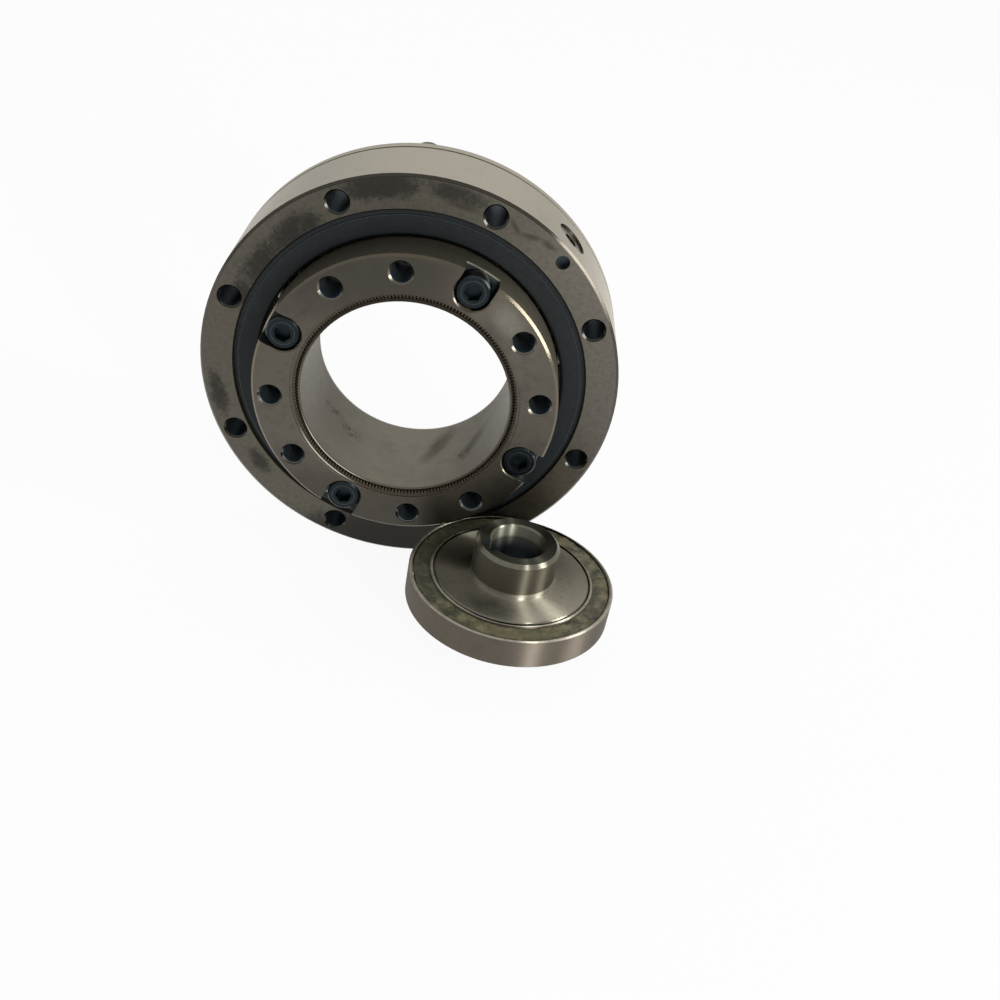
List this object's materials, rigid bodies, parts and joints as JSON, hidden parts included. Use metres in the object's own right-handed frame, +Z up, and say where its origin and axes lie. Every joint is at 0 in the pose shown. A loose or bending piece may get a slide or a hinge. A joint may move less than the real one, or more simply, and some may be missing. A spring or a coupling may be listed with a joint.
{
  "type": "strain wave gear unit",
  "caption": "Flanged strain wave gear unit with a crossed roller output bearing, standing on its rim, and its keyed wave generator standing in front of it.",
  "frame": {"origin": "on the gear unit's axis, in the plane of its bearing's front face", "axes": "-Y along the unit's axis, out of its front (the circular spline); +Z up, along the wave generator's axis; +X to the right as seen from the front"},
  "size_m": [0.0742, 0.0527, 0.07],
  "materials": {
    "ground_steel": "ground, lightly oiled, with old grime",
    "flexspline_steel": "fine turned alloy steel",
    "spline_steel": "ground ductile iron, olive brown with oil",
    "bearing_steel": "ground and polished bearing steel",
    "turned_steel": "fine turned steel",
    "black_oxide": "black oxide, oiled",
    "seal_rubber": "nitrile rubber, satin",
    "nylon": "natural nylon",
    "greased_cage": "nylon cage under old olive grease"
  },
  "bodies": {
    "case": {"outer_ring": "ground_steel", "loading_plug": "ground_steel", "plug_pin": "black_oxide", "front_seal": "seal_rubber", "flexspline": "flexspline_steel", "rear_oring": "seal_rubber", "rear_screw_1": "black_oxide", "rear_screw_2": "black_oxide", "rear_screw_3": "black_oxide", "rear_screw_4": "black_oxide", "wave_outer_race": "bearing_steel"},
    "output": {"inner_ring": "ground_steel", "circular_spline": "spline_steel", "front_oring": "seal_rubber", "spline_screw_1": "black_oxide", "spline_screw_2": "black_oxide", "spline_screw_3": "black_oxide", "spline_screw_4": "black_oxide"},
    "roller_row": {"rollers_left": "bearing_steel", "rollers_right": "bearing_steel", "roller_spacers": "nylon"},
    "wave_plug": {"wave_plug": "turned_steel", "wave_inner_race": "bearing_steel"},
    "ball_row": {"wave_balls": "bearing_steel", "wave_cage": "greased_cage"}
  },
  "joints": [
    {"name": "output_spin", "type": "hinge", "parent": "case", "child": "output", "pos_m": [0, 0, 0], "axis": [0, -1, 0], "continuous": true},
    {"name": "roller_orbit", "type": "hinge", "parent": "case", "child": "roller_row", "pos_m": [0, 0, 0], "axis": [0, -1, 0], "continuous": true},
    {"name": "wave_spin", "type": "hinge", "parent": "case", "child": "wave_plug", "pos_m": [0.022, -0.0176, -0.0289], "axis": [0, 0, 1], "continuous": true},
    {"name": "ball_orbit", "type": "hinge", "parent": "case", "child": "ball_row", "pos_m": [0.022, -0.0176, -0.0289], "axis": [0, 0, 1], "continuous": true}
  ],
  "couplings": [
    {"joint": "roller_orbit", "follows": "output_spin", "ratio": 0.4717},
    {"joint": "ball_orbit", "follows": "wave_spin", "ratio": 0.4473}
  ]
}
